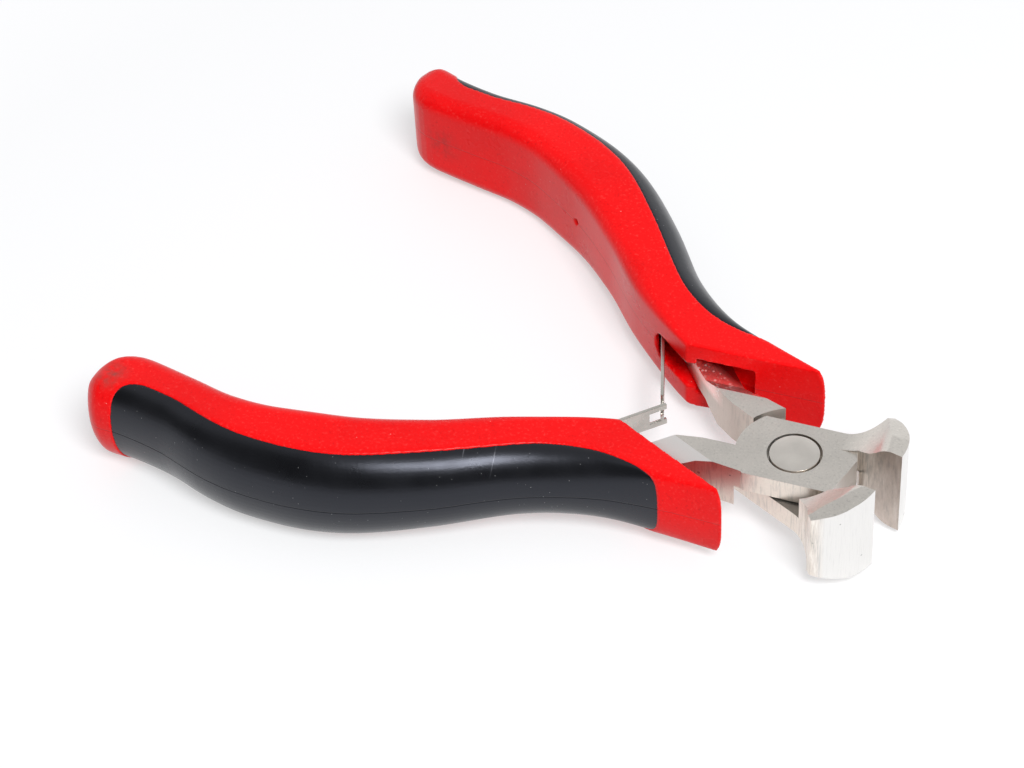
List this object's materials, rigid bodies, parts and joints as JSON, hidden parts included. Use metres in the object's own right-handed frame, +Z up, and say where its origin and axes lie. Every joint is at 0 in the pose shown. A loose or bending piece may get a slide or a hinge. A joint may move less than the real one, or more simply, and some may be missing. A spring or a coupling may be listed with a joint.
{
  "type": "end cutting pliers",
  "caption": "Small end-cutting pliers: lapped steel halves on a flush rivet, flared front-cutting jaws, hooked leaf springs, and red handle sleeves with soft black outer inlays.",
  "frame": {"origin": "centre of the rivet's flush upper face", "axes": "+X towards the jaws, +Z up along the pivot axis, handles spread along Y"},
  "size_m": [0.0979, 0.082, 0.015],
  "materials": {
    "forged_steel": "satin, ground faces brighter",
    "rivet_steel": "satin, flush",
    "spring_steel": "satin strip",
    "sleeve_red": "fine grain on the flat faces, satin sides",
    "inlay_black": "soft satin"
  },
  "bodies": {
    "lower": {"half_lower": "forged_steel", "pivot_rivet": "rivet_steel", "sleeve_lower": "sleeve_red", "grip_inlay_lower": "inlay_black", "spring_pin_lower": "spring_steel"},
    "upper": {"half_upper": "forged_steel", "sleeve_upper": "sleeve_red", "grip_inlay_upper": "inlay_black", "spring_pin_upper": "spring_steel"},
    "tongue_leaf": {"leaf_spring_tongue": "spring_steel"},
    "fork_leaf": {"leaf_spring_fork": "spring_steel"}
  },
  "joints": [
    {"name": "pivot", "type": "hinge", "parent": "lower", "child": "upper", "pos_m": [0, 0, 0], "axis": [0, 0, 1], "range_deg": [-27, 2], "stiffness_Nm_per_rad": 1.2},
    {"name": "tongue_swing", "type": "hinge", "parent": "lower", "child": "tongue_leaf", "pos_m": [-0.02848, 0.01409, -0.0032], "axis": [0, 0, 1], "range_deg": [-1.6, 19.8]},
    {"name": "fork_swing", "type": "hinge", "parent": "upper", "child": "fork_leaf", "pos_m": [-0.02848, -0.01409, -0.0032], "axis": [0, 0, 1], "range_deg": [-19.8, 1.6]}
  ],
  "couplings": [
    {"joint": "tongue_swing", "follows": "pivot", "ratio": -0.7258},
    {"joint": "fork_swing", "follows": "pivot", "ratio": 0.7258}
  ]
}
